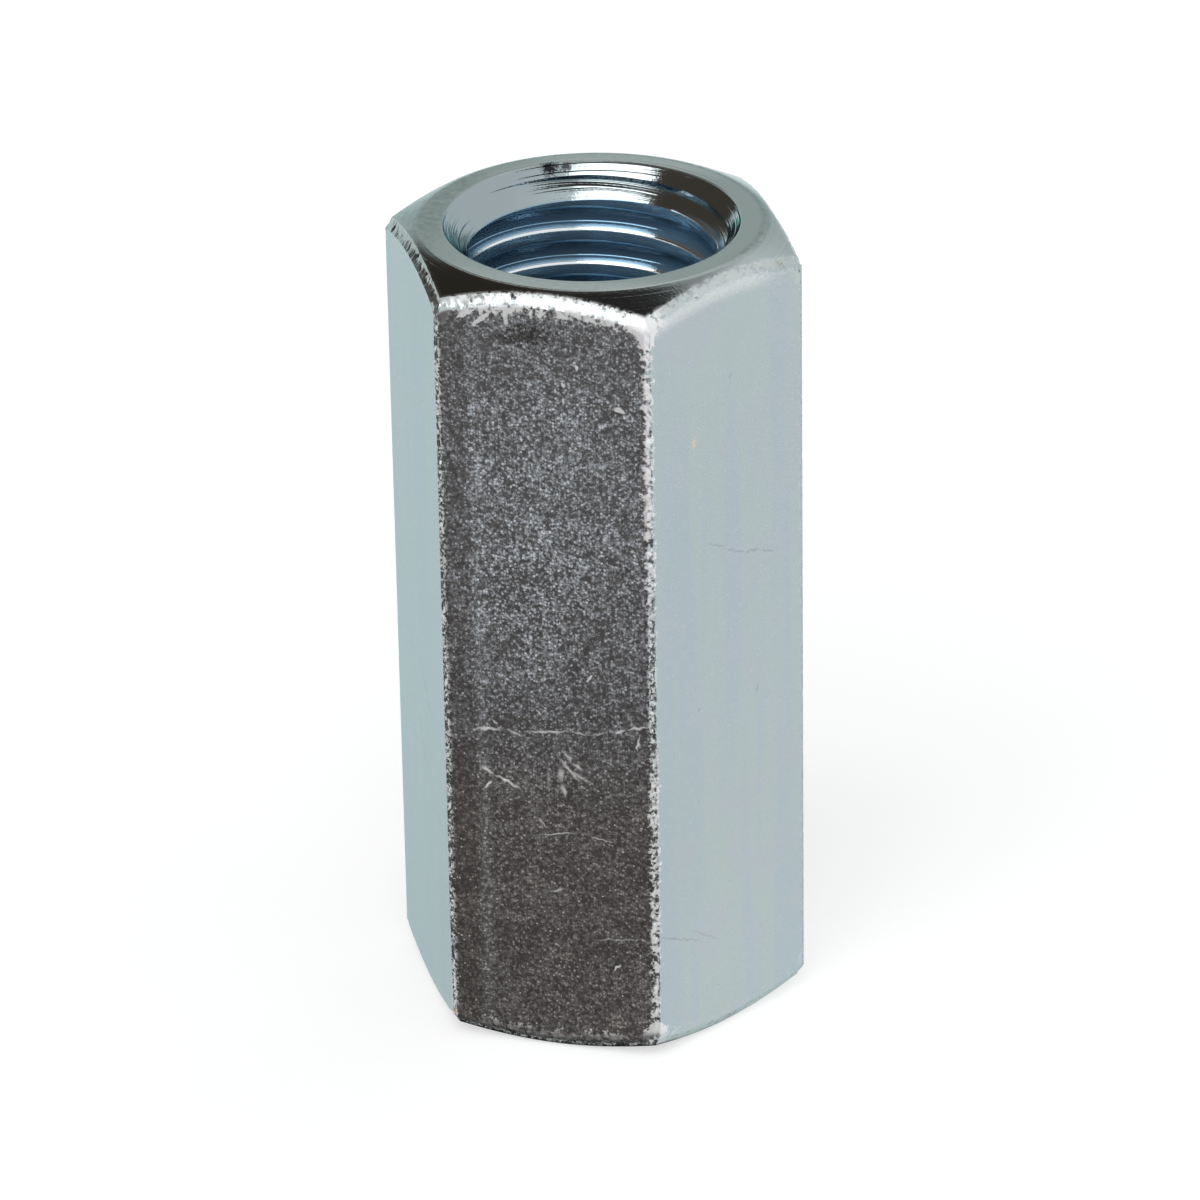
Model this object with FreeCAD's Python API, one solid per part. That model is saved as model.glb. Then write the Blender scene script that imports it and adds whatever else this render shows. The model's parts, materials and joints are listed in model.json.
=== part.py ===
import FreeCAD, Part
import math
import os
from FreeCAD import Vector

# Hexagon bar, in mm and degrees
across_flats = 25.4
length = 57.15
sides = 6
corner_radius = 0.55

# Cones that cut the corners back at each end, from a round face just inside the flats
top_face_inset = 0.95
top_chamfer_angle = 27.0
foot_face_inset = 0.8
foot_chamfer_angle = 22.0
chamfer_edge_radius = 0.45

# Hole right through, as wide as the thread's crests stand apart, with a countersink in each mouth
wall_at_flats = 4.365
mouth_flare = 1.815
countersink_angle = 82.0

# How far the cutting shapes reach past the metal
overshoot = 2.0

# The origin is the middle of the foot face, the axis is +Z, and two flats face the Y axis
origin = Vector(0, 0, 0)
axis = Vector(0, 0, 1)
full_turn = 360.0

# Sizes that follow from the ones above
corner_distance = across_flats / 2 / math.cos(math.pi / sides)
top_face_radius = across_flats / 2 - top_face_inset
foot_face_radius = across_flats / 2 - foot_face_inset
minor_radius = across_flats / 2 - wall_at_flats
mouth_radius = minor_radius + mouth_flare
countersink_slope = math.tan(math.radians(countersink_angle / 2))
countersink_depth = mouth_flare / countersink_slope


def revolved(profile):
    """A solid of revolution from (radius, height) pairs that begin and end on the axis."""
    points = [Vector(radius, 0, height) for radius, height in profile]
    points.append(points[0])
    section = Part.Face(Part.makePolygon(points))
    return section.revolve(origin, axis, full_turn)


def runs_along_bar(shape):
    """True for the flats, the rounded corners and their edges, which span most of the bar."""
    return shape.BoundBox.ZLength > length / 2


def hexagon_bar():
    """The drawn bar, with its long edges rounded."""
    corners = []
    for side in range(sides):
        angle = side * 2 * math.pi / sides
        corners.append(Vector(math.cos(angle), math.sin(angle), 0) * corner_distance)
    corners.append(corners[0])
    bar = Part.Face(Part.makePolygon(corners)).extrude(axis * length)
    long_edges = [edge for edge in bar.Edges if runs_along_bar(edge)]
    return bar.makeFillet(corner_radius, long_edges)


def turned_ends():
    """The turned shape that leaves a round face and a shallow cone at each end."""
    reach = corner_distance + overshoot
    top_drop = (reach - top_face_radius) * math.tan(math.radians(top_chamfer_angle))
    foot_rise = (reach - foot_face_radius) * math.tan(math.radians(foot_chamfer_angle))
    return revolved([
        (0, 0),
        (foot_face_radius, 0),
        (reach, foot_rise),
        (reach, length - top_drop),
        (top_face_radius, length),
        (0, length),
    ])


def chamfer_rims(blank):
    """The curved edges where a cone meets the flats and the rounded corners."""
    rims = []
    for edge in blank.Edges:
        faces = blank.ancestorsOfType(edge, Part.Face)
        meets_cone = any(isinstance(face.Surface, Part.Cone) for face in faces)
        meets_side = any(runs_along_bar(face) for face in faces)
        if meets_cone and meets_side:
            rims.append(edge)
    return rims


def nut_blank():
    """The bar with both ends turned, and the rims of the cones eased."""
    blank = hexagon_bar().common(turned_ends())
    return blank.makeFillet(chamfer_edge_radius, chamfer_rims(blank))


def through_hole():
    """The hole at the thread's crests, opening out into the two mouths."""
    outer_radius = mouth_radius + overshoot * countersink_slope
    return revolved([
        (0, -overshoot),
        (outer_radius, -overshoot),
        (minor_radius, countersink_depth),
        (minor_radius, length - countersink_depth),
        (outer_radius, length + overshoot),
        (0, length + overshoot),
    ])


nut_body = nut_blank().cut(through_hole())

os.makedirs("parts", exist_ok=True)
nut_body.exportStep("parts/nut_body.step")
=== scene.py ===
import json
import math

import bmesh
import bpy
from mathutils import Matrix, Vector, noise


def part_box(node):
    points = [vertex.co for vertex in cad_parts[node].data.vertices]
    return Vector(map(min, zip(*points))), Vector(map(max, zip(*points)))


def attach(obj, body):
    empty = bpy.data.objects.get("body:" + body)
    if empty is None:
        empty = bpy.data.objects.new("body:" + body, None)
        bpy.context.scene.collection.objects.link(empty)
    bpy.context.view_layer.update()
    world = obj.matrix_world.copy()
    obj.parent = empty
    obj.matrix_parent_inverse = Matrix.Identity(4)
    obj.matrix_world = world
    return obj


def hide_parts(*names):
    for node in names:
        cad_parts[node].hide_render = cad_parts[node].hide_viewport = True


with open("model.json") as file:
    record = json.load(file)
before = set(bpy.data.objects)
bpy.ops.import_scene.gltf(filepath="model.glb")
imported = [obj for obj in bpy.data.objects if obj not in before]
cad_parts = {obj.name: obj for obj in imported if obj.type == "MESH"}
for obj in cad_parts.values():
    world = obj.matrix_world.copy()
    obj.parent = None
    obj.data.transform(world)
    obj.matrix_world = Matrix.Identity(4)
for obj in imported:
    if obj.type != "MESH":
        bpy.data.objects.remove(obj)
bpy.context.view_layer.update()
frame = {"record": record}

mm = 0.001               # lengths are given in millimetres, and the scene is in metres

# What the frame says about the nut, and what follows from it
lowCorner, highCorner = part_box("nut_body")
rodMount = next(mount for mount in frame["record"]["mounts"] if mount["name"] == "rod_top")
nut = {
    "acrossFlats": (highCorner.y - lowCorner.y) / mm,
    "length": (highCorner.z - lowCorner.z) / mm,
    "crestRadius": rodMount["dims"]["r_mm"],
    "mouthDepth": (highCorner.z - rodMount["pos_m"][2]) / mm,
    "mouthAngle": 82.0,
    "cornerRadius": 0.55,
    "topInset": 0.95, "topAngle": 27.0,      # the cone that cuts the corners back at the top
    "footInset": 0.8, "footAngle": 22.0,     # and at the foot
}
flatAngles = (30, 90, 150)       # the three pairs of flats
flatDistance = nut["acrossFlats"] / 2
cornerDistance = flatDistance / math.cos(math.pi / 6)
mouthSlope = math.tan(math.radians(nut["mouthAngle"] / 2))
mouthRadius = nut["crestRadius"] + nut["mouthDepth"] * mouthSlope
topEnd = {"level": nut["length"], "inwards": -1, "faceRadius": flatDistance - nut["topInset"],
          "slope": math.tan(math.radians(nut["topAngle"]))}
footEnd = {"level": 0.0, "inwards": 1, "faceRadius": flatDistance - nut["footInset"],
           "slope": math.tan(math.radians(nut["footAngle"]))}


# Meshes

def newPiece(name, bm):
    mesh = bpy.data.meshes.new(name)
    bm.to_mesh(mesh)
    bm.free()
    piece = bpy.data.objects.new(name, mesh)
    bpy.context.collection.objects.link(piece)
    return piece


def applyModifiers(piece):
    depsgraph = bpy.context.evaluated_depsgraph_get()
    done = bpy.data.meshes.new_from_object(piece.evaluated_get(depsgraph), depsgraph=depsgraph)
    piece.modifiers.clear()
    piece.data = done


def nextRing(bm, ring, place):
    grown = bmesh.ops.extrude_edge_only(bm, edges=ring)["geom"]
    fresh = {item for item in grown if isinstance(item, bmesh.types.BMVert)}
    for vertex in fresh:
        vertex.co = place(vertex.co)
    edges = [item for item in grown if isinstance(item, bmesh.types.BMEdge)]
    return [edge for edge in edges if edge.verts[0] in fresh and edge.verts[1] in fresh]


def raised(height):
    return lambda point: point + Vector((0, 0, height))


def toCircle(radius, height):
    def place(point):
        across = Vector((point.x, point.y, 0)).normalized() * radius
        return Vector((across.x, across.y, height))
    return place


def roundEdges(bm, edges, offset, segments):
    return bmesh.ops.bevel(bm, geom=edges, offset=offset, affect="EDGES", segments=segments,
                           profile=0.5, material=-1, clamp_overlap=False)


# The blank: the hexagon bar with its turned ends and a blind mouth at each end

blank = {
    "cornerSteps": 8,        # facets round each long edge
    "flatSteps": 120,        # columns across each flat at the rims
    "sideSteps": 420,        # rows along the long edges
    "endBand": 2.4,          # how far from the ends those rows stop
    "endRowHeight": 0.14,    # and how tall the rows beyond them are
    "rimWidth": 0.5,         # the worn facet where a cone meets the flats
    "rimRows": 4,
    "faceEase": 0.26,        # the round from the end face to the cone
    "mouthEase": 0.14,
    "blindRadius": 8.1,
}


def hexOutline(bm):
    bmesh.ops.create_circle(bm, cap_ends=True, segments=6, radius=cornerDistance)
    bmesh.ops.rotate(bm, verts=bm.verts[:], matrix=Matrix.Rotation(math.pi / 2, 3, "Z"))
    bmesh.ops.bevel(bm, geom=bm.verts[:], offset=nut["cornerRadius"] * math.tan(math.pi / 6),
                    affect="VERTICES", segments=blank["cornerSteps"], profile=0.5, material=-1)
    bmesh.ops.delete(bm, geom=bm.faces[:], context="FACES_ONLY")
    return bm.edges[:]


def acrossFlat(edge):
    return edge.calc_length() > nut["acrossFlats"] / 4


def turnEnd(bm, outline, end):
    # from the rim inwards: the cone, the end face, the countersink and the blind floor
    level, inwards = end["level"], end["inwards"]
    bmesh.ops.subdivide_edges(bm, edges=[edge for edge in outline if acrossFlat(edge)],
                              cuts=blank["flatSteps"] - 1)
    rim = [edge for edge in bm.edges if edge.is_boundary and abs(edge.verts[0].co.z - level) < 1e-4]
    for vertex in {vertex for edge in rim for vertex in edge.verts}:
        reach = math.hypot(vertex.co.x, vertex.co.y)
        vertex.co.z = level + inwards * (reach - end["faceRadius"]) * end["slope"]
    face = nextRing(bm, rim, toCircle(end["faceRadius"], level))
    mouth = nextRing(bm, face, toCircle(mouthRadius, level))
    depth = (mouthRadius - blank["blindRadius"]) / mouthSlope
    floor = nextRing(bm, mouth, toCircle(blank["blindRadius"], level + inwards * depth))
    bmesh.ops.edgeloop_fill(bm, edges=floor)
    facets = set(roundEdges(bm, rim, blank["rimWidth"], 1)["faces"])
    across = [edge for edge in bm.edges if facets.issuperset(edge.link_faces)]
    bmesh.ops.subdivide_edges(bm, edges=across, cuts=blank["rimRows"] - 1)
    roundEdges(bm, face, blank["faceEase"], 3)
    roundEdges(bm, mouth, blank["mouthEase"], 3)


def addEndRows(bm, end):
    # the long edges carry on in rows up to the rim, all cut in one go so that the rows join up
    columns = []
    for edge in bm.edges:
        low, high = sorted((vertex.co for vertex in edge.verts), key=lambda point: point.z)
        upright = high.z - low.z > edge.calc_length() * 0.999
        atCorner = math.hypot(low.x, low.y) > cornerDistance - nut["cornerRadius"]
        inEnd = abs(low.z - end["level"]) <= blank["endBand"] + 1e-3
        if upright and atCorner and inEnd and edge.calc_length() > 2 * blank["endRowHeight"]:
            columns.append(edge)
    rows = round(max(edge.calc_length() for edge in columns) / blank["endRowHeight"])
    bmesh.ops.subdivide_edges(bm, edges=columns, cuts=rows - 1)


def makeBlank():
    bm = bmesh.new()
    foot = hexOutline(bm)
    tall = nut["length"] - 2 * blank["endBand"]
    low = nextRing(bm, foot, raised(blank["endBand"]))
    high = nextRing(bm, low, raised(tall))
    uprights = [edge for edge in bm.edges if edge.calc_length() > tall * 0.9]
    top = nextRing(bm, high, raised(blank["endBand"]))
    bmesh.ops.subdivide_edges(bm, edges=uprights, cuts=blank["sideSteps"] - 1)
    turnEnd(bm, top, topEnd)
    turnEnd(bm, foot, footEnd)
    addEndRows(bm, footEnd)
    addEndRows(bm, topEnd)
    bmesh.ops.recalc_face_normals(bm, faces=bm.faces[:])
    return bm


# Wear: the rims and long edges are knocked about, and no metal is added

wear = {
    "reach": 0.75,           # how far from an edge the marks begin
    "slide": 0.26,           # how far the border of the worn strip wanders into a flat
    "coneSlide": 0.05,       # and into a cone
    "coneReach": 0.6,        # as far as this from the flats
    "quiet": 0.25,           # the share of the slide that the left flat gets
    "corner": 0.38,          # how much further it goes where a rim meets a long edge
    "cornerReach": 1.6,
    "depth": 0.07,
    "fine": 0.05,
    "pits": 0.16,
    "pitFrom": 0.72, "pitSpan": 0.28,        # the noise from which there is a pit
    "ease": 0.03,            # over which the depth begins at a flat
    "slideScale": 1.7,       # marks to a millimetre
    "depthScale": 3.2,
    "fineScale": 6.5,
    "pitScale": 1.1,
}
onPlane = 1e-3               # what lies nearer to a flat than this lies on it
atCone = 0.02                # and to a cone
dents = [                    # place, radius and depth
    ((-2.05, -12.5, 56.75), 0.30, 0.30),
    ((-3.09, -12.6, 56.55), 0.22, 0.20),
    ((-5.30, -12.6, 55.85), 0.28, 0.22),
    ((7.01, -12.7, 1.12), 0.45, 0.35),
    ((7.30, -12.5, 27.9), 0.35, 0.12),
    ((14.3, 0.5, 0.9), 0.40, 0.25),
    ((-7.40, -12.6, 52.6), 0.30, 0.14),
    ((3.30, 12.6, 56.4), 0.35, 0.22),
]


def roughness(point, scale, seed):
    # from 0 to 1, the same on every run
    offset = Vector((seed * 17.3, seed * 5.1, seed * 9.7))
    value = noise.noise(point * scale + offset) + 0.5 * noise.noise(point * scale * 2.3 + offset)
    return min(max(0.5 + value * 0.6, 0.0), 1.0)


def edgeGaps(point):
    # distances from the flats, from the long edges, and from the cones
    reaches = []
    for angle in flatAngles:
        turn = math.radians(angle)
        reaches.append(abs(point.x * math.cos(turn) + point.y * math.sin(turn)))
    reaches.sort()
    across = math.hypot(point.x, point.y)
    cones = []
    for end in (topEnd, footEnd):
        cones.append(end["inwards"] * (point.z - end["level"]) - (across - end["faceRadius"]) * end["slope"])
    return flatDistance - reaches[2], (flatDistance - reaches[1]) / math.sin(math.pi / 3), cones


def nearestFlat(point):
    side = math.radians(round((math.degrees(math.atan2(point.y, point.x)) - 30) / 60) * 60 + 30)
    return Vector((math.cos(side), math.sin(side), 0))


def nearness(gap, reach):
    return max(1 - gap / reach, 0.0) ** 2


def wornMove(point, normal):
    flatGap, cornerGap, cones = edgeGaps(point)
    coneGap = min(cones)
    if flatGap > wear["reach"] or min(cornerGap, coneGap) > wear["reach"]:
        return None
    end = topEnd if cones[0] < cones[1] else footEnd
    outwards = Vector((point.x, point.y, 0)).normalized()
    if flatGap < onPlane:
        slide = wear["slide"] * roughness(point, wear["slideScale"], 1) ** 1.5
        if point.x < -cornerDistance / 2 and point.y < 0:
            slide *= wear["quiet"]
        # the rim's border slides along the bar and the long edge's across it; one fades into the other
        far = min(max((coneGap - blank["rimWidth"]) / wear["cornerReach"], 0), 1)
        along = (slide + wear["corner"] * nearness(cornerGap, wear["cornerReach"])) * (1 - far)
        across = (slide + wear["corner"] * nearness(coneGap, wear["cornerReach"])) * min(3 * far, 1)
        facing = nearestFlat(point)
        heading = Vector((-facing.y, facing.x, 0))
        if heading.dot(point) > 0:
            across = -across
        return Vector((0, 0, end["inwards"])) * along + heading * across
    if abs(coneGap) < atCone:
        slide = wear["coneSlide"] * roughness(point, wear["slideScale"], 4) ** 1.5
        if flatGap > wear["coneReach"]:
            slide = 0
        return (outwards + Vector((0, 0, end["inwards"] * end["slope"]))) * -slide
    depth = wear["depth"] * roughness(point, wear["depthScale"], 2)
    depth += wear["fine"] * roughness(point, wear["fineScale"], 5)
    pit = max(roughness(point, wear["pitScale"], 3) - wear["pitFrom"], 0)
    depth += wear["pits"] * pit / wear["pitSpan"]
    fade = min(flatGap / wear["ease"], 1.0) if coneGap > atCone / 2 else max(1 - flatGap / wear["reach"], 0)
    return -normal * depth * fade


def wearDown(bm):
    for vertex in bm.verts:
        gap = edgeGaps(vertex.co)[0]
        if abs(gap) < 2 * onPlane:       # the bevels leave points a micron off the flats
            vertex.co += nearestFlat(vertex.co) * gap
    bm.normal_update()
    moves = []
    for vertex in bm.verts:
        move = wornMove(vertex.co, vertex.normal)
        if move is None:
            continue
        for place, radius, depth in dents:
            away = (vertex.co - Vector(place)).length
            if away < radius and edgeGaps(vertex.co)[0] > onPlane:
                move -= vertex.normal * depth * (1 - (away / radius) ** 2)
        moves.append((vertex, move))
    for vertex, move in moves:
        vertex.co += move


# The thread: the shape of the rod that fills it, cut out of the blank

thread = {
    "pitch": 2.54,
    "grooveRadius": 9.525,
    "rootFlat": 0.32,
    "crestFlat": 0.85,
    "crestEase": 0.07,
    "turnSteps": 132,
    "startAngle": 40.0,
    "centreHeight": 53.6,    # the middle of one groove where it passes +Y
    "overshoot": 1.5,
}


def threadProfile(bottom):
    # one pitch of the rod's outline as (radius, height), from the middle of a crest upwards
    pitch, crest, root = thread["pitch"], thread["crestFlat"] / 2, thread["rootFlat"] / 2
    ease = thread["crestEase"]
    inner, outer = nut["crestRadius"], thread["grooveRadius"]
    rise = (outer - inner) / math.sqrt(3)
    edge = pitch / 2 - root - rise
    return [
        (inner, bottom),
        (inner, bottom + edge - ease),
        (inner + ease, bottom + edge + ease * 0.55),
        (outer, bottom + pitch / 2 - root),
        (outer, bottom + pitch / 2 + root),
        (inner + ease, bottom + pitch - edge - ease * 0.55),
        (inner, bottom + pitch - edge + ease),
        (inner, bottom + pitch),
    ]


def makeRod():
    bm = bmesh.new()
    pitch, steps = thread["pitch"], thread["turnSteps"]
    grooveAtStart = thread["centreHeight"] + pitch * (thread["startAngle"] - 90) / 360
    turnsBelow = math.ceil(grooveAtStart / pitch) + 2
    start = Matrix.Rotation(math.radians(thread["startAngle"]), 3, "Z")
    line = []
    for radius, height in threadProfile(grooveAtStart - pitch * (turnsBelow + 0.5)):
        line.append(bm.verts.new(start @ Vector((radius, 0, height))))
    edges = [bm.edges.new(pair) for pair in zip(line, line[1:])]
    bmesh.ops.spin(bm, geom=line + edges, cent=(0, 0, 0), axis=(0, 0, 1), dvec=(0, 0, pitch / steps),
                   angle=math.tau, steps=steps)
    turn = bm.verts[:] + bm.edges[:] + bm.faces[:]
    for count in range(1, turnsBelow + 4):
        copied = bmesh.ops.duplicate(bm, geom=turn)["geom"]
        bmesh.ops.translate(bm, vec=(0, 0, pitch * count),
                            verts=[item for item in copied if isinstance(item, bmesh.types.BMVert)])
    bmesh.ops.remove_doubles(bm, verts=bm.verts[:], dist=1e-4)
    reach = thread["overshoot"]
    for height, outside in ((-reach, -1), (nut["length"] + reach, 1)):
        bmesh.ops.bisect_plane(bm, geom=bm.verts[:] + bm.edges[:] + bm.faces[:], plane_co=(0, 0, height),
                               plane_no=(0, 0, outside), clear_outer=True)
    bmesh.ops.holes_fill(bm, edges=[edge for edge in bm.edges if edge.is_boundary], sides=0)
    # the twisted faces go in as triangles, or the cut leaves slivers back to back
    bmesh.ops.triangulate(bm, faces=bm.faces[:])
    bmesh.ops.recalc_face_normals(bm, faces=bm.faces[:])
    return bm


def cutThread(body, rod):
    cut = body.modifiers.new("thread", "BOOLEAN")
    cut.operation, cut.solver, cut.object = "DIFFERENCE", "EXACT", rod
    applyModifiers(body)
    bpy.data.objects.remove(rod)


bm = makeBlank()
wearDown(bm)
print("blank:", len(bm.faces), "faces, closed:", all(edge.is_manifold for edge in bm.edges))
bmesh.ops.scale(bm, vec=(mm, mm, mm), verts=bm.verts[:])
body = newPiece("nut", bm)
bm = makeRod()
print("rod:", len(bm.faces), "faces, closed:", all(edge.is_manifold for edge in bm.edges))
bmesh.ops.scale(bm, vec=(mm, mm, mm), verts=bm.verts[:])
rod = newPiece("rod", bm)
cutThread(body, rod)
print("nut:", sum(len(face.vertices) - 2 for face in body.data.polygons), "triangles")
check = bmesh.new()
check.from_mesh(body.data)
print("closed:", all(edge.is_manifold for edge in check.edges), "volume", check.calc_volume() * 1e9)
check.free()
body.data.shade_smooth()
body.data.set_sharp_from_angle(angle=math.radians(35))
even = body.modifiers.new("even", "WEIGHTED_NORMAL")
even.keep_sharp, even.weight = True, 80
applyModifiers(body)
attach(body, "root")
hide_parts("nut_body")


# Materials: shader sums are written as expressions on wires

class Wire:
    def __init__(self, shader, socket):
        self.shader, self.socket = shader, socket

    def maths(self, operation, *others):
        return self.shader.maths(operation, self, *others)

    def __add__(self, other):
        return self.maths("ADD", other)

    def __sub__(self, other):
        return self.maths("SUBTRACT", other)

    def __rsub__(self, other):
        return self.shader.maths("SUBTRACT", other, self)

    def __mul__(self, other):
        return self.maths("MULTIPLY", other)

    def __truediv__(self, other):
        return self.maths("DIVIDE", other)

    def __abs__(self):
        return self.maths("ABSOLUTE")

    __radd__ = __add__
    __rmul__ = __mul__


class Shader:
    def __init__(self, tree):
        self.tree = tree
        tree.nodes.clear()

    def node(self, kind, settings=None, sockets=None, output=0):
        made = self.tree.nodes.new(kind)
        for name, value in (settings or {}).items():
            setattr(made, name, value)
        for name, value in (sockets or {}).items():
            if isinstance(value, Wire):
                self.tree.links.new(value.socket, made.inputs[name])
            else:
                made.inputs[name].default_value = value
        return Wire(self, made.outputs[output]) if made.outputs else None

    def maths(self, operation, *values):
        return self.node("ShaderNodeMath", {"operation": operation}, dict(enumerate(values)))

    def vector(self, operation, *values, output=0):
        return self.node("ShaderNodeVectorMath", {"operation": operation}, dict(enumerate(values)), output)

    def step(self, value, low, high):
        return self.node("ShaderNodeMapRange", {"interpolation_type": "SMOOTHSTEP"},
                         {0: value, 1: low, 2: high})

    def split(self, vector):
        made = self.node("ShaderNodeSeparateXYZ", None, {0: vector}).socket.node
        return [Wire(self, socket) for socket in made.outputs]

    def noise(self, place, scale, detail=2.0, rough=0.5):
        return self.node("ShaderNodeTexNoise", None,
                         {"Vector": place, "Scale": scale, "Detail": detail, "Roughness": rough})

    def noiseColour(self, place, scale):
        return self.node("ShaderNodeTexNoise", None,
                         {"Vector": place, "Scale": scale, "Detail": 0.0}, "Color")

    def mix(self, factor, first, second):
        return self.node("ShaderNodeMix", {"data_type": "RGBA"}, {0: factor, 6: first, 7: second}, 2)


def dotted(shader, place, direction):
    return shader.vector("DOT_PRODUCT", place, direction, output=1)


# Studio

def skyDirection(azimuth, elevation):
    across = math.cos(math.radians(elevation))
    return Vector((math.cos(math.radians(azimuth)) * across, math.sin(math.radians(azimuth)) * across,
                   math.sin(math.radians(elevation))))


# azimuth from +X, elevation, inner and outer half-angle, colour
sky = (0.84, 0.87, 0.88, 1)
brown = (0.075, 0.06, 0.048, 1)
skyPatches = [
    (106, 26, 14, 30, (0.56, 0.59, 0.58, 1)),
    (168, 24, 28, 35, brown),
    (207, 46, 19, 24, brown),
    (149, 54, 17, 25, brown),
    (72, 81, 15, 22, (0.05, 0.045, 0.042, 1)),
    (262, 53, 25, 29, (2.6, 2.6, 2.6, 1)),
]


def makeWorld():
    world = bpy.data.worlds.new("studio")
    world.use_nodes = True
    shader = Shader(world.node_tree)
    direction = shader.node("ShaderNodeTexCoord")
    colour = sky
    for azimuth, elevation, inner, outer, patch in skyPatches:
        near = shader.step(dotted(shader, direction, skyDirection(azimuth, elevation)),
                           math.cos(math.radians(outer)), math.cos(math.radians(inner)))
        colour = shader.mix(near, colour, patch)
    light = shader.node("ShaderNodeBackground", None, {"Color": colour, "Strength": 1.0})
    shader.node("ShaderNodeOutputWorld", None, {"Surface": light})
    bpy.context.scene.world = world


def makeFloor():
    bm = bmesh.new()
    bmesh.ops.create_circle(bm, cap_ends=True, segments=64, radius=6)
    floor = newPiece("floor", bm)
    material = bpy.data.materials.new("floor")
    material.use_nodes = True
    shader = Shader(material.node_tree)
    path = shader.node("ShaderNodeLightPath")
    rays = [Wire(shader, path.socket.node.outputs[name])
            for name in ("Is Camera Ray", "Is Glossy Ray", "Is Transmission Ray")]
    seen = rays[0].maths("MAXIMUM", rays[1]).maths("MAXIMUM", rays[2])
    paper = shader.node("ShaderNodeBsdfDiffuse", None, {"Color": (0.5, 0.5, 0.5, 1)})
    glow = shader.node("ShaderNodeEmission", None, {"Color": (1, 1, 1, 1), "Strength": 0.6})
    both = shader.node("ShaderNodeAddShader", None, {0: paper, 1: glow})
    surface = shader.node("ShaderNodeMixShader", None, {0: seen, 1: paper, 2: both})
    shader.node("ShaderNodeOutputMaterial", None, {"Surface": surface})
    floor.data.materials.append(material)


# Dark cards on the table: what the front flat, the edge to its left and its foot mirror
cardHeight = 0.05 * mm
cards = [
    {"x": (-0.32, 0.08), "y": (-0.41, -0.0135), "colour": (0.125, 0.100, 0.090, 1)},
    {"x": (-0.20, -0.022), "y": (-0.0130, -0.004), "colour": (0.05, 0.045, 0.04, 1)},
    {"x": (-0.008, 0.0071), "y": (-0.0135, -0.0095), "colour": (0.08, 0.07, 0.065, 1)},
]


def makeCard(number, card):
    bm = bmesh.new()
    made = bmesh.ops.create_grid(bm, x_segments=1, y_segments=1, size=0.5)
    (left, right), (front, back) = card["x"], card["y"]
    bmesh.ops.scale(bm, vec=(right - left, back - front, 1), verts=made["verts"])
    bmesh.ops.translate(bm, vec=((left + right) / 2, (front + back) / 2, cardHeight), verts=made["verts"])
    piece = newPiece("card." + str(number), bm)
    material = bpy.data.materials.new("card")
    material.use_nodes = True
    shader = Shader(material.node_tree)
    paper = shader.node("ShaderNodeBsdfDiffuse", None, {"Color": card["colour"]})
    shader.node("ShaderNodeOutputMaterial", None, {"Surface": paper})
    piece.data.materials.append(material)
    piece.visible_camera = False
    piece.visible_diffuse = False
    piece.visible_shadow = False


# Zinc plate

zinc = {
    "blue": (0.41, 0.49, 0.525, 1),
    "green": (0.43, 0.505, 0.505, 1),
    "violet": (0.43, 0.48, 0.53, 1),
    # painted shade: a darker colour for the front flat, standing in for the dark it mirrors
    "front": (0.35, 0.37, 0.385, 1),
    "end": (0.47, 0.52, 0.51, 1),
    "ringPale": (0.62, 0.66, 0.65, 1),
    "ringDark": (0.33, 0.38, 0.37, 1),
    # painted shade: near black, for the chamfers' front, the countersink's left side and a line along the
    # front flat's foot
    "paintedShade": (0.05, 0.05, 0.055, 1),
    "mouth": (0.48, 0.55, 0.57, 1),
    "hole": (0.22, 0.37, 0.50, 1),
    # painted highlight along the crests of the thread
    "lipHighlight": (0.86, 0.90, 0.92, 1),
    "dull": (0.60, 0.63, 0.68, 1),          # the white grains of the plating, which also stand in for painted glints
    "dullWarm": (0.60, 0.575, 0.55, 1),
    # worn edges, painted near white as their highlight too
    "wornAndHighlit": (0.92, 0.92, 0.92, 1),
    "scratchShade": (0.16, 0.18, 0.18, 1),         # scratches on the bright side flats, painted dark as shade
    "edgeTint": (0.69, 0.80, 0.81, 1),      # how much is mirrored at a glancing angle
    "flatRoughness": 0.26, "endRoughness": 0.15, "mouthRoughness": 0.08,
    "relief": 0.03,                         # height of the grain and the lathe's lines
}
pattern = {                  # marks to a millimetre, and the places of two of them
    "grain": 4.6,
    "coarse": 2.0,
    "broad": 0.3,
    "cells": 5.3,            # the white grains
    "turned": 3.4,           # the lathe's lines
    "ragged": 3.0,           # what makes the scratches waver
    "raggedReach": (0.25, 0.25, 0),
    "streaks": (0.55, 0.55, 0.03),
    # painted sheen: a pale patch of grains, centred 35 mm up the bar
    "streakAt": -4.7,        # a pale streak up the front flat
    "sheenPatchAt": (-1.2, 0, 35.0),
    "sheenPatchSize": (0.16, 0, 0.085),        # one over its reach
}
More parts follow.
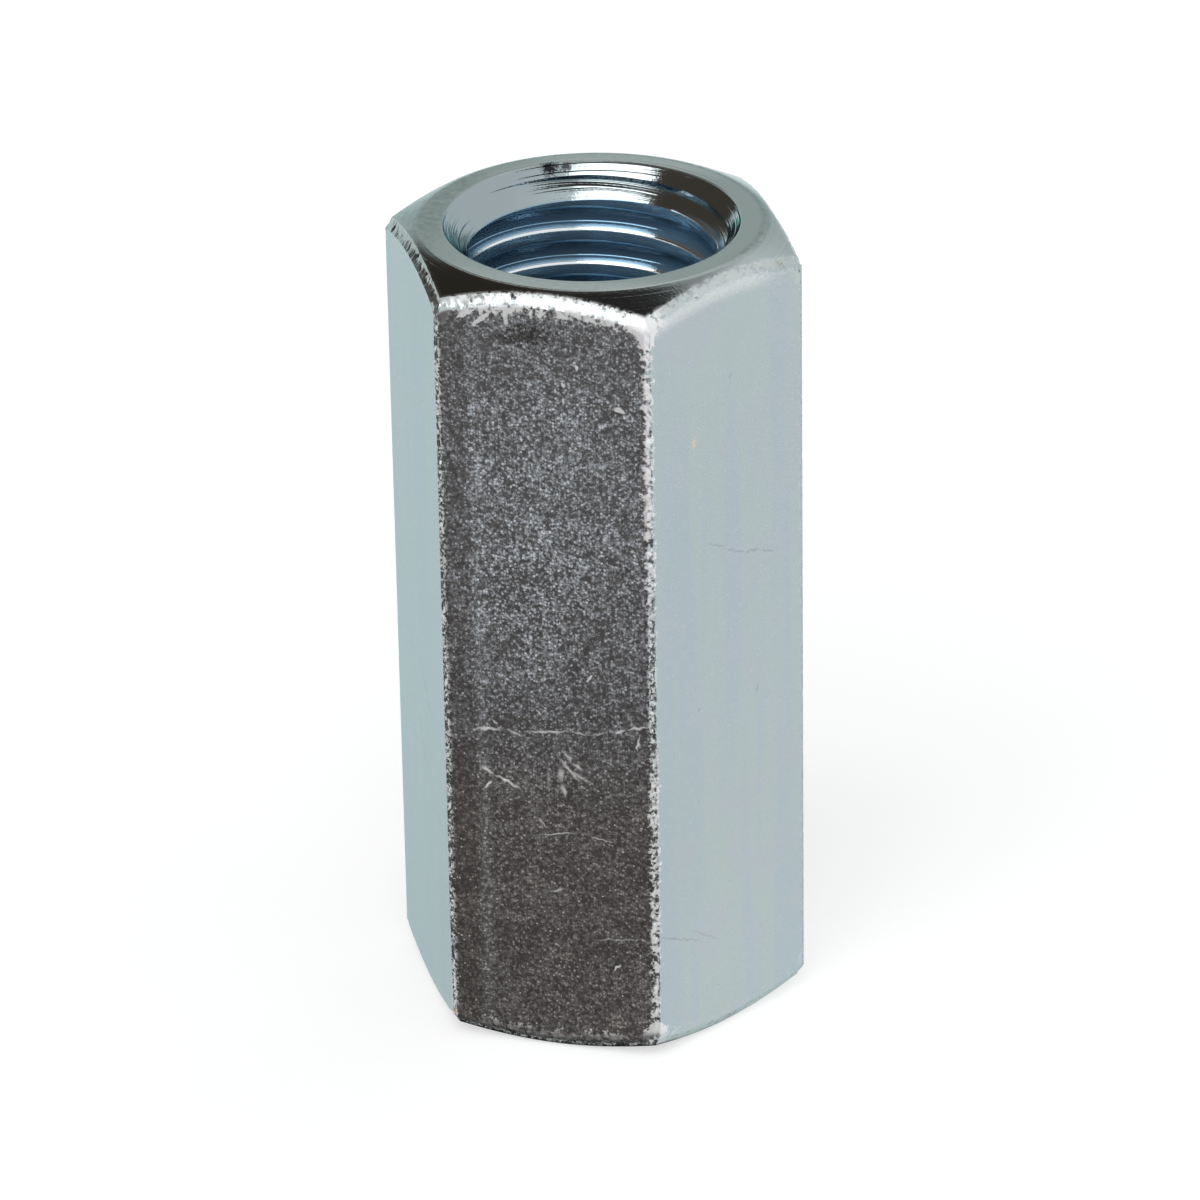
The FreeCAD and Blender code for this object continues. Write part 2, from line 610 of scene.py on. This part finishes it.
bands = {                    # where a mask begins and where it is full, and its amount where that isn't 1
    # millimetres from a flat, from the axis, from the nearer end and from the foot's cone
    "flat": (0.3, 0.05),
    "mouth": (mouthRadius + 0.02, mouthRadius - 0.06),
    "ring": (11.95, 11.75),
    "cone": (11.75, 11.95),
    "lathe": (11.9, 11.7, 0.9),
    "thread": (1.95, 2.15),
    "lipWidth": (0.06, 0.02),
    "lipDepth": (8.8, 8.5),
    "calmFoot": (1.3, 0.7, 0.75),
    # worn metal
    "wornFront": (-10.6, -12.2),
    "wornArc": (-8.2, -5.5, 0.85),
    "wornBack": (3.0, 7.0, 0.5),
    "rightRim": (1.7, 0.6),
    "rightFrom": (3.0, 8.0),
    "rightTo": (14.0, 12.0),
    "edgeWear": (1.18, 0.0),
    "rimWear": (2.3, 0.4),
    "wornBorder": (0.72, 1.0),
    "wornFacet": (0.75, 0.4),
    # grains, with heights up the bar
    "front": (0.1 - flatDistance, 0.02 - flatDistance),
    "nearSide": (0.0, -0.5),
    # painted sheen: a band up the middle and a patch, where the grains show more
    "sheenUp": (16, 44),
    "dimTop": (48, 54, 0.2),
    "sheenPatch": (1.0, 0.1),
    "speckLuck": (0.3, 1.05),
    "speckSize": (0.8, 0.2, 0.9),
    "speckGrain": (0.36, 0.82, 0.75),
    "dotLuck": (0.94, 0.98),
    "dotSize": (0.45, 0.15),
    "darkSide": (-4.9, -5.7, 0.4),
    "paleStreak": (0.7, 0.1),
    "sparkle": (0.73, 0.84),
    "sparkleFront": (-12.05, -12.35),
    "sparkleEdge": (0.55, 0.1),
    # hues
    "green": (0.38, 0.6),
    "violet": (0.52, 0.66, 0.5),
    "warmLow": (26, 18),
    "ringPale": (8.0, 10.8),
    "ringBorder": (0.5, 0.1),
    "ringBack": (-6.0, -2.0),
    "ringLeft": (-8.0, -10.5),
    "coneFront": (-3.0, -8.0),
    "coneInner": (0.3, 0.6),
    "mouthLeft": (-2.0, -8.0),
    "footLine": (0.22, 0.02),
    "footFront": (-9.5, -11.5),
}
share = {                    # how much of each goes into the mix
    "rimLean": 0.9,
    "wornAll": 0.1, "wornLeft": 0.05, "arcLean": -0.6, "wornRight": 0.25,
    "coarseWear": 1.3, "grainWear": 0.9,
    "coarseClouds": 0.28, "broadClouds": 0.15,
    "speckLow": 0.31, "speckHigh": 0.40, "speckSheen": 0.3,
    "paleStreak": 0.16, "dots": 0.8, "white": 0.8,
    "lipAt": 0.667,          # of a pitch
    "scratchShade": 0.28, "coneShade": 0.55, "mouthShade": 0.25, "footShadow": 0.9,
    "wornDull": 0.6, "markDull": 0.6, "sparkleDull": 0.95, "threadDull": 0.25,
    "wornRough": 0.15, "grainHeight": 0.26,
}

# Scratches on the flats: across and up at both ends, half the width, and strength
flatOffset = 40.0
markReach = {"along": 0.62, "beside": 1.4}       # how far a mark's fading ends and sides go
frontMarks = [
    (-5.53, 24.31, -3.12, 24.50, 0.13, 0.5),
    (-3.12, 24.50, -1.70, 24.15, 0.12, 0.4),
    (-1.70, 24.50, 1.60, 24.90, 0.11, 0.48),
    (1.60, 24.90, 2.75, 24.75, 0.09, 0.42),
    (2.75, 24.75, 4.20, 25.15, 0.09, 0.36),
    (4.60, 25.15, 5.36, 25.50, 0.14, 0.55),
    (5.36, 25.50, 7.10, 25.92, 0.10, 0.5),
    (0.88, 23.39, 1.58, 22.59, 0.14, 0.42),
    (1.58, 22.59, 2.40, 22.01, 0.13, 0.42),
    (0.56, 22.90, 2.18, 21.08, 0.14, 0.45),
    (1.16, 22.08, 3.11, 20.97, 0.13, 0.4),
    (0.75, 22.14, 0.83, 20.91, 0.24, 0.42),
    (0.83, 20.91, 1.12, 19.70, 0.16, 0.42),
    (-0.09, 21.92, -0.12, 20.33, 0.14, 0.3),
    (-4.99, 21.54, -3.95, 20.98, 0.16, 0.5),
    (-3.95, 20.98, -2.10, 20.08, 0.12, 0.55),
    (6.15, 24.05, 6.37, 25.09, 0.07, 0.8),
    (-0.93, 26.31, -0.42, 25.81, 0.06, 0.5),
    (-4.17, 25.25, -3.55, 24.87, 0.06, 0.5),
    (-1.13, 16.58, 2.01, 17.21, 0.07, 0.4),
    (2.52, 17.05, 4.59, 16.75, 0.06, 0.4),
    (-1.00, 18.07, -0.18, 17.16, 0.06, 0.4),
    (-0.31, 12.28, 0.98, 12.76, 0.07, 0.4),
    (2.62, 8.90, 6.90, 9.48, 0.06, 0.35),
    (-4.61, 19.83, -4.18, 20.39, 0.07, 1.2),
    (4.34, 6.77, 4.72, 7.23, 0.07, 1.2),
    (2.75, 28.91, 3.15, 29.40, 0.08, 1.3),
    (-5.75, 54.85, -4.35, 55.90, 0.15, 1.3),
    (-4.75, 54.40, -3.65, 55.35, 0.13, 1.3),
    (-2.45, 56.10, -2.37, 54.60, 0.15, 1.0),
    (-0.23, 55.48, 0.40, 55.91, 0.12, 0.8),
    (2.32, 52.21, 2.52, 51.94, 0.12, 0.9),
    (4.95, 49.44, 5.70, 49.09, 0.16, 0.9),
    (1.40, 50.90, 1.56, 50.55, 0.13, 1.2),
]
rightMarks = [
    (-1.92, 37.82, -0.30, 37.10, 0.07, 0.7),
    (-0.31, 36.87, 1.61, 35.97, 0.08, 0.9),
    (1.61, 35.97, 3.06, 35.69, 0.09, 1.0),
    (3.06, 35.69, 4.52, 34.95, 0.07, 0.8),
    (-6.85, 9.50, -3.08, 7.83, 0.07, 0.9),
    (-4.04, 9.00, -0.92, 6.96, 0.05, 0.6),
    (0.20, 49.30, 0.45, 49.70, 0.10, 0.9),
    (2.60, 25.00, 2.80, 25.40, 0.11, 0.9),
    (-3.00, 25.50, -2.88, 25.80, 0.10, 0.7),
    (-2.40, 56.00, -1.90, 55.90, 0.14, 0.8),
    (-5.20, 55.90, -4.70, 56.00, 0.12, 0.8),
]
leftMarks = [
    (0.60, 25.00, 1.80, 23.90, 0.12, 0.9),
    (1.80, 23.90, 3.20, 22.80, 0.12, 0.6),
    (-0.69, 21.11, -0.24, 19.77, 0.10, 1.0),
    (-0.24, 19.77, 1.35, 17.83, 0.08, 0.9),
]

# Stains: place, radius, how far it is stretched up the bar, colour and strength
stains = [
    ((9.22, -8.95, 45.82), 0.36, 2.4, (0.78, 0.60, 0.50, 1), 0.75),
    ((-7.20, -12.70, 1.85), 0.34, 1.0, (0.74, 0.55, 0.36, 1), 0.8),
    ((13.7, -1.66, 56.05), 0.5, 1.0, (0.40, 0.36, 0.28, 1), 0.7),
    ((-5.31, 8.44, 56.95), 0.75, 1.0, (0.025, 0.025, 0.03, 1), 1.0),
    ((-4.30, 8.95, 56.90), 0.45, 1.0, (0.03, 0.03, 0.035, 1), 0.9),
    ((-8.42, -4.28, 56.34), 0.95, 1.0, (0.20, 0.62, 0.60, 1), 0.8),
    ((9.35, 2.67, 56.66), 0.75, 1.0, (0.20, 0.62, 0.56, 1), 0.9),
    ((-1.00, -12.70, 53.95), 2.10, 0.5, (0.16, 0.155, 0.155, 1), 0.9),
]


def scratchMask(shader, flat, marks):
    # each mark is a long thin ellipse that fades towards its ends
    total = None
    for fromAcross, fromUp, toAcross, toUp, width, strength in marks:
        run = Vector((toAcross - fromAcross, toUp - fromUp, 0))
        middle = Vector((fromAcross, fromUp, 0)) + run / 2
        along = run.normalized() / (run.length * markReach["along"])
        beside = Vector((-run.y, run.x, 0)).normalized() / (width * markReach["beside"])
        u = dotted(shader, flat, along) - along.dot(middle)
        v = dotted(shader, flat, beside) - beside.dot(middle)
        inside = u.maths("MULTIPLY_ADD", u, v * v).maths("MULTIPLY_ADD", -strength, strength)
        total = inside if total is None else total.maths("MAXIMUM", inside)
    return shader.step(total, 0.0, 0.6)


def movedAcross(marks, offset):
    return [(one + offset, up, other + offset, otherUp, width, strength)
            for one, up, other, otherUp, width, strength in marks]


def makeZinc():
    material = bpy.data.materials.new("zincPlate")
    material.use_nodes = True
    shader = Shader(material.node_tree)

    def band(value, name):
        start, full, *amount = bands[name]
        mask = shader.step(value, start, full)
        return mask * amount[0] if amount else mask

    objectPlace = shader.node("ShaderNodeTexCoord", None, None, "Object")
    place = shader.vector("MULTIPLY", objectPlace, (1 / mm, 1 / mm, 1 / mm))
    x, y, z = shader.split(place)

    reaches = []
    for angle in flatAngles:
        turn = math.radians(angle)
        reaches.append(abs(x * math.cos(turn) + y * math.sin(turn)))
    furthest = reaches[0].maths("MAXIMUM", reaches[1]).maths("MAXIMUM", reaches[2])
    nearest = reaches[0].maths("MINIMUM", reaches[1]).maths("MINIMUM", reaches[2])
    middle = reaches[0] + reaches[1] + reaches[2] - furthest - nearest
    radius = (x * x + y * y).maths("SQRT")
    depth = z.maths("MINIMUM", nut["length"] - z)
    flatGap = flatDistance - furthest
    cornerGap = (flatDistance - middle) / math.sin(math.pi / 3)
    topRim = (nut["length"] - z) - (radius - topEnd["faceRadius"]) * topEnd["slope"]
    footRim = z - (radius - footEnd["faceRadius"]) * footEnd["slope"]
    rimGap = topRim.maths("MINIMUM", footRim) + flatGap * share["rimLean"]

    # which face a point is on, and how worn that side is
    onFlat = band(flatGap, "flat")
    inMouth = band(radius, "mouth")
    deep = band(depth, "thread") * inMouth
    strong = share["wornAll"] + band(y, "wornFront") * (
        share["wornLeft"] + band(x + depth * share["arcLean"], "wornArc"))
    strong = (strong + band(y, "wornBack")) * (1 - band(footRim, "calmFoot"))
    rightRim = band(topRim, "rightRim") * band(x, "rightFrom") * band(x, "rightTo")
    strong = strong + share["wornRight"] * rightRim
    onRing = (1 - onFlat) * (1 - inMouth) * band(radius, "ring")
    onCone = (1 - onFlat) * band(radius, "cone")
    # a painted highlight: a pale line along the upper edge of each crest of the thread
    turn = y.maths("ARCTAN2", x) / math.tau - 0.25
    ramp = ((z - thread["centreHeight"]) / thread["pitch"] - turn).maths("FRACT")
    lipHighlight = band(abs(ramp - share["lipAt"]), "lipWidth") * deep * band(radius, "lipDepth")

    # patterns of the plating
    grain = shader.noise(place, pattern["grain"], 1.0, 0.85)
    coarse = shader.noise(place, pattern["coarse"], 1.0, 0.6)
    broad = shader.noise(place, pattern["broad"], 0.0)
    streaks = shader.noise(shader.vector("MULTIPLY", place, pattern["streaks"]), 1.0, 1.0, 0.6)
    turned = shader.node("ShaderNodeTexNoise", {"noise_dimensions": "1D"},
                         {"W": radius, "Scale": pattern["turned"], "Detail": 2.0, "Roughness": 0.75})

    # worn metal at the rims and the long edges, which run into each other at the corners; painted near white,
    # it is also a painted highlight on these rounded edges
    closeness = band(cornerGap, "edgeWear") + band(rimGap, "rimWear")
    closeness = closeness + (coarse - 0.5) * share["coarseWear"] + (grain - 0.5) * share["grainWear"]
    wornAndHighlit = band(closeness, "wornBorder") * band(flatGap, "wornFacet") * strong
    wornAndHighlit = wornAndHighlit.maths("MAXIMUM", rightRim * onFlat * (0.2 + grain * 0.5)).maths("MINIMUM", 1.0)
    onFront = band(y, "front")

    # white grains, which show where the metal mirrors something dark; each has its own brightness. They are
    # partly real grains and partly painted glints, denser on the front flat
    cells = shader.node("ShaderNodeTexVoronoi", {"feature": "F1"},
                        {"Vector": place, "Scale": pattern["cells"]})
    luck = shader.split(Wire(shader, cells.socket.node.outputs["Color"]))[0]
    # painted sheen: a band up the middle of the bar
    sheenUp = band(z, "sheenUp")
    clouds = (coarse - 0.5) * share["coarseClouds"] + (broad - 0.5) * share["broadClouds"]
    speck = band(luck + clouds, "speckLuck") * band(cells, "speckSize")
    speck = (speck + band(grain + clouds, "speckGrain")) * (0.35 + 0.65 * onFront)
    # painted sheen: a pale patch of grains, centred 35 mm up the bar
    sheenPatch = shader.vector("MULTIPLY", shader.vector("SUBTRACT", place, pattern["sheenPatchAt"]), pattern["sheenPatchSize"])
    sheenPatch = band(shader.vector("LENGTH", sheenPatch, output=1) + (coarse - 0.5) * 0.5, "sheenPatch")
    dots = band(luck, "dotLuck") * band(cells, "dotSize")
    edgeShade = 1 - band(x, "darkSide")
    paleStreak = band(abs(x - pattern["streakAt"]), "paleStreak") * grain
    # painted sheen: the grains mirror less, so look paler, up the middle and round the patch; fewer towards
    # the top and on the left
    dull = speck * (share["speckLow"] + share["speckHigh"] * sheenUp + share["speckSheen"] * sheenPatch
                    - band(z, "dimTop"))
    dull = dull + 0.01 + 0.04 * sheenUp
    dull = (dull * edgeShade + paleStreak * share["paleStreak"]).maths("MAXIMUM", dots * share["dots"])
    # painted glints: pale dots along the front flat's long edges and its foot
    sparkle = band(coarse * 0.5 + grain, "sparkle") * band(y, "sparkleFront")
    sparkle = sparkle * band(cornerGap.maths("MINIMUM", footRim), "sparkleEdge")
    wornAndHighlit = wornAndHighlit.maths("MAXIMUM", sparkle)

    # scratches are laid out flat by flat, the side flats well away from the front one
    right = x * 0.5 + y * math.sin(math.radians(60)) + flatOffset
    left = x * 0.5 - y * math.sin(math.radians(60)) - flatOffset
    across = shader.node("ShaderNodeMix", None, {0: onFront, 2: shader.node(
        "ShaderNodeMix", None, {0: x.maths("GREATER_THAN", 0), 2: left, 3: right}), 3: x})
    flat = shader.node("ShaderNodeCombineXYZ", None, {0: across, 1: z})
    ragged = shader.vector("SUBTRACT", shader.noiseColour(place, pattern["ragged"]), (0.5, 0.5, 0.5))
    flat = shader.vector("ADD", flat, shader.vector("MULTIPLY", ragged, pattern["raggedReach"]))
    nearSide = band(y, "nearSide")
    marks = frontMarks + movedAcross(rightMarks, flatOffset) + movedAcross(leftMarks, -flatOffset)
    scratches = scratchMask(shader, flat, marks) * nearSide * onFlat * (0.75 + grain * 0.6)
    scratches = scratches.maths("MINIMUM", 1.0)

    # colours, from the plating itself to what lies on it, with painted shade and highlights among them
    tint = shader.mix(band(streaks, "green"), zinc["blue"], zinc["green"])
    tint = shader.mix(band(broad, "violet"), tint, zinc["violet"])
    # painted shade: the front flat is darkened, standing in for the dark it mirrors
    tint = shader.mix(onFront, tint, zinc["front"])
    # real scratches, painted dark on the side flats as shade
    tint = shader.mix(scratches * (1 - onFront) * share["scratchShade"], tint, zinc["scratchShade"])
    tint = shader.mix(1 - onFlat, tint, zinc["end"])
    tint = shader.mix(onRing * band(abs(y), "ringPale") * (0.4 + coarse * 0.8), tint, zinc["ringPale"])
    ringBorder = band(abs(radius - topEnd["faceRadius"]), "ringBorder") * band(y, "ringBack")
    ringShade = band(x, "ringLeft").maths("MAXIMUM", ringBorder)
    tint = shader.mix((onRing + onCone) * ringShade * (coarse * 1.8 - 0.3), tint, zinc["ringDark"])
    # painted shade: the front of the chamfer cones darkened, standing in for the dark sky they mirror
    tint = shader.mix(onCone * band(y, "coneFront") * band(flatGap, "coneInner") * share["coneShade"], tint,
                      zinc["paintedShade"])
    tint = shader.mix(inMouth, tint, zinc["mouth"])
    # painted shade: the countersink darker on its left side
    tint = shader.mix(inMouth * band(x, "mouthLeft") * share["mouthShade"], tint, zinc["paintedShade"])
    tint = shader.mix(deep, tint, zinc["hole"])
    # painted highlight: the pale line along the crests
    tint = shader.mix(lipHighlight, tint, zinc["lipHighlight"])
    white = shader.mix(band(z, "warmLow"), zinc["dull"], zinc["dullWarm"])
    tint = shader.mix(speck.maths("MAXIMUM", dots) * onFlat * share["white"], tint, white)
    # wear and painted highlights: the worn edges, and the front flat's scratches painted near white
    tint = shader.mix(wornAndHighlit.maths("MAXIMUM", scratches * onFront), tint, zinc["wornAndHighlit"])
    # painted shadow: a dark line along the front flat's foot, where it stands on the floor
    tint = shader.mix(band(footRim, "footLine") * band(y, "footFront") * share["footShadow"], tint,
                      zinc["paintedShade"])
    for centre, size, stretch, colour, strength in stains:
        offset = shader.vector("MULTIPLY", shader.vector("SUBTRACT", place, Vector(centre)),
                               (1, 1, 1 / stretch))
        away = shader.vector("LENGTH", offset, output=1) + (grain - 0.5) * size * 1.6
        tint = shader.mix(shader.step(away, size * 1.1, size * 0.3) * strength, tint, colour)

    # how little it mirrors, how rough it is, and the lathe's lines
    dull = dull * onFlat
    dull = dull.maths("MAXIMUM", wornAndHighlit * share["wornDull"])
    dull = dull.maths("MAXIMUM", scratches * onFront * share["markDull"])
    dull = dull.maths("MAXIMUM", sparkle * share["sparkleDull"])
    dull = dull.maths("MAXIMUM", (deep - lipHighlight) * share["threadDull"])
    rough = shader.node("ShaderNodeMix", None, {0: onFlat, 2: zinc["endRoughness"], 3: zinc["flatRoughness"]})
    rough = shader.node("ShaderNodeMix", None, {0: inMouth, 2: rough, 3: zinc["mouthRoughness"]})
    lathe = 0.25 + band(radius, "lathe") + 1.0 * inMouth
    height = grain * share["grainHeight"] + turned * (0.1 + lathe * (1 - onFlat))
    bump = shader.node("ShaderNodeBump", None,
                       {"Strength": 1.0, "Distance": zinc["relief"] * mm, "Height": height})
    plate = shader.node("ShaderNodeBsdfPrincipled", None, {
        "Base Color": tint, "Metallic": 1 - dull, "Roughness": rough + wornAndHighlit * share["wornRough"],
        "Specular Tint": zinc["edgeTint"], "Normal": bump})
    shader.node("ShaderNodeOutputMaterial", None, {"Surface": plate})
    print("zinc plate:", len(material.node_tree.nodes), "nodes")
    return material


body.data.materials.clear()
body.data.materials.append(makeZinc())
makeWorld()
makeFloor()
for number, card in enumerate(cards):
    makeCard(number, card)

cameraView = {
    "azimuth": 15.936, "elevation": 26.377, "roll": 0.988,
    "distance": 498.9, "right": 0.125, "up": 25.591,
    "lens": 210.93, "sensor": 36.0,
}


def makeCamera():
    azimuth, elevation = math.radians(cameraView["azimuth"]), math.radians(cameraView["elevation"])
    back = Vector((math.sin(azimuth) * math.cos(elevation), -math.cos(azimuth) * math.cos(elevation),
                   math.sin(elevation)))
    right = Vector((math.cos(azimuth), math.sin(azimuth), 0))
    up = back.cross(right)
    place = back * cameraView["distance"] + right * cameraView["right"] + up * cameraView["up"]
    roll = Matrix.Rotation(-math.radians(cameraView["roll"]), 3, "Z")
    turned = Matrix((right, up, back)).transposed() @ roll
    data = bpy.data.cameras.new("camera")
    data.lens, data.sensor_width = cameraView["lens"], cameraView["sensor"]
    data.clip_start, data.clip_end = 0.01, 50.0
    camera = bpy.data.objects.new("camera", data)
    camera.matrix_world = Matrix.Translation(place * mm) @ turned.to_4x4()
    bpy.context.collection.objects.link(camera)
    bpy.context.scene.camera = camera


makeCamera()
print("studio:", len(skyPatches), "patches in the sky,", len(cards), "cards and a camera")
bpy.context.scene.view_settings.view_transform = "Standard"
